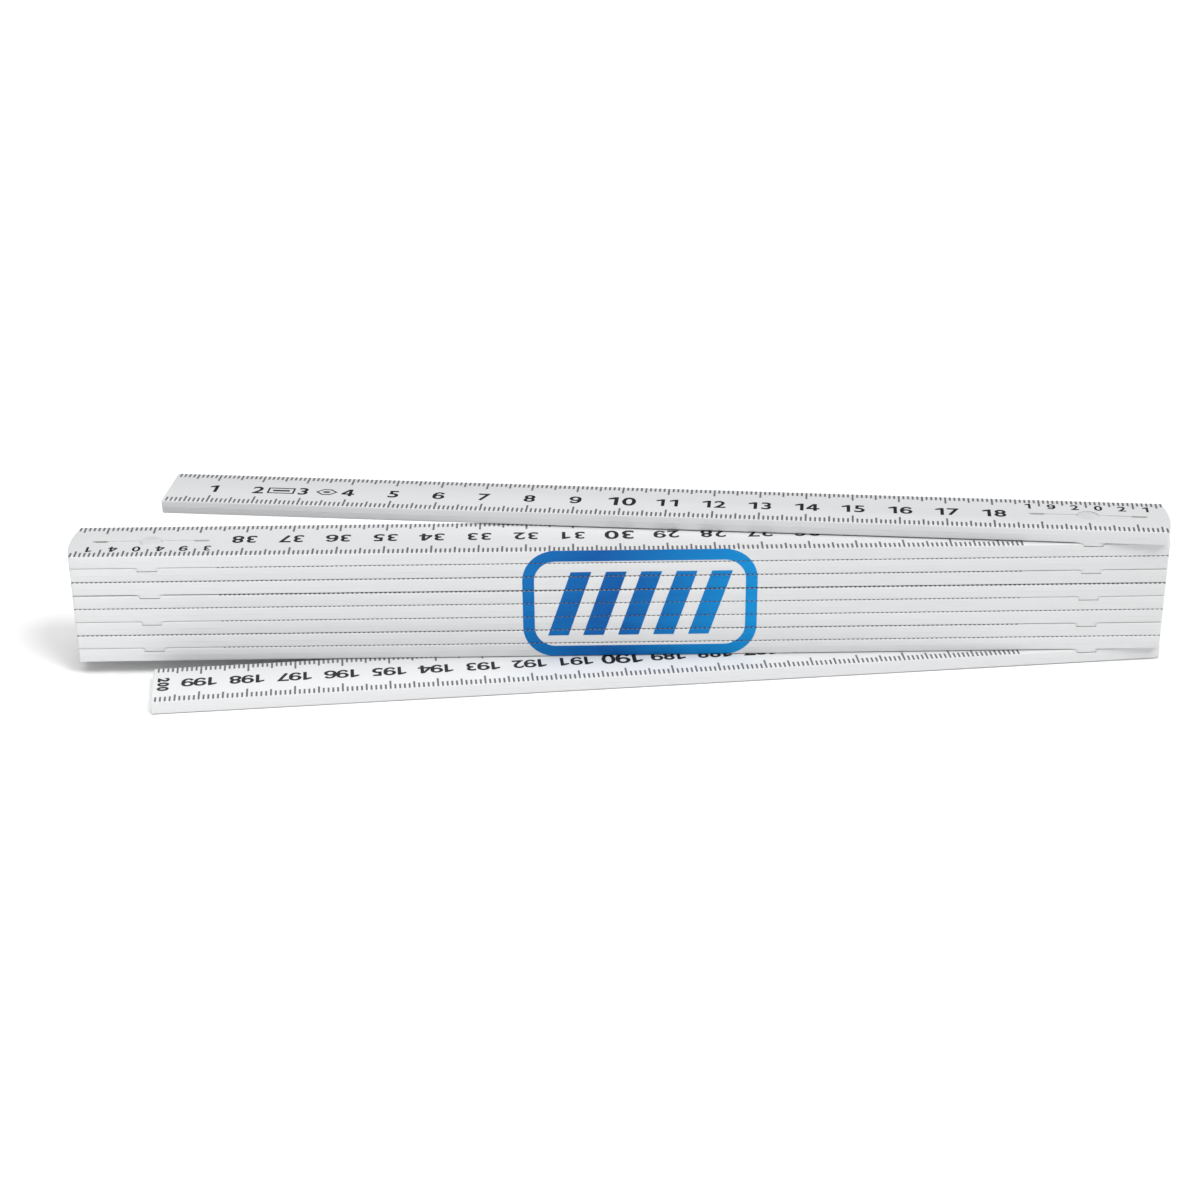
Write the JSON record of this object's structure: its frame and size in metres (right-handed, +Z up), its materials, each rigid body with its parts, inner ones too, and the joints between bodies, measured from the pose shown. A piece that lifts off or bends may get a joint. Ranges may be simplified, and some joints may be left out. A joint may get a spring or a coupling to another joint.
{
  "type": "folding rule",
  "caption": "Folding rule of flat white plastic links on concealed spring pivots, folded zigzag, with a millimetre scale on the wide faces.",
  "frame": {"origin": "on the ground, at the middle of the folded rule's footprint", "axes": "+X along the rule, +Z up through the stack of links, -Y the front edge faces"},
  "size_m": [0.2347, 0.0546, 0.0314],
  "materials": {
    "link_plastic": "satin white glass-filled plastic",
    "pin_plastic": "satin light grey",
    "spring_steel": "blued spring steel",
    "scale_ink": "printed black scale",
    "edge_ink": "printed blue edge decoration"
  },
  "bodies": {
    "link_01": {"link_01": "link_plastic", "detent_spring_01": "spring_steel"},
    "link_02": {"link_02": "link_plastic", "pivot_pin_01": "pin_plastic", "detent_spring_02": "spring_steel"},
    "link_03": {"link_03": "link_plastic", "pivot_pin_02": "pin_plastic", "detent_spring_03": "spring_steel"},
    "link_04": {"link_04": "link_plastic", "pivot_pin_03": "pin_plastic", "detent_spring_04": "spring_steel"},
    "link_05": {"link_05": "link_plastic", "pivot_pin_04": "pin_plastic", "detent_spring_05": "spring_steel"},
    "link_06": {"link_06": "link_plastic", "pivot_pin_05": "pin_plastic", "detent_spring_06": "spring_steel"},
    "link_07": {"link_07": "link_plastic", "pivot_pin_06": "pin_plastic", "detent_spring_07": "spring_steel"},
    "link_08": {"link_08": "link_plastic", "pivot_pin_07": "pin_plastic", "detent_spring_08": "spring_steel"},
    "link_09": {"link_09": "link_plastic", "pivot_pin_08": "pin_plastic", "detent_spring_09": "spring_steel"},
    "link_10": {"link_10": "link_plastic", "pivot_pin_09": "pin_plastic"}
  },
  "joints": [
    {"name": "fold_09", "type": "hinge", "parent": "link_10", "child": "link_09", "pos_m": [0.1, -0.00173, 0.00315], "axis": [0, 0, 1], "range_deg": [-174.8, 185.2]},
    {"name": "fold_08", "type": "hinge", "parent": "link_09", "child": "link_08", "pos_m": [-0.1, -0.00173, 0.0063], "axis": [0, 0, 1], "range_deg": [-180, 180]},
    {"name": "fold_07", "type": "hinge", "parent": "link_08", "child": "link_07", "pos_m": [0.1, -0.00173, 0.00945], "axis": [0, 0, 1], "range_deg": [-180, 180]},
    {"name": "fold_06", "type": "hinge", "parent": "link_07", "child": "link_06", "pos_m": [-0.1, -0.00173, 0.0126], "axis": [0, 0, 1], "range_deg": [-180, 180]},
    {"name": "fold_05", "type": "hinge", "parent": "link_06", "child": "link_05", "pos_m": [0.1, -0.00173, 0.01575], "axis": [0, 0, 1], "range_deg": [-180, 180]},
    {"name": "fold_04", "type": "hinge", "parent": "link_05", "child": "link_04", "pos_m": [-0.1, -0.00173, 0.0189], "axis": [0, 0, 1], "range_deg": [-180, 180]},
    {"name": "fold_03", "type": "hinge", "parent": "link_04", "child": "link_03", "pos_m": [0.1, -0.00173, 0.02205], "axis": [0, 0, 1], "range_deg": [-180, 180]},
    {"name": "fold_02", "type": "hinge", "parent": "link_03", "child": "link_02", "pos_m": [-0.1, -0.00173, 0.0252], "axis": [0, 0, 1], "range_deg": [-180, 180]},
    {"name": "fold_01", "type": "hinge", "parent": "link_02", "child": "link_01", "pos_m": [0.1, -0.00173, 0.02835], "axis": [0, 0, 1], "range_deg": [-173.8, 186.2]}
  ]
}
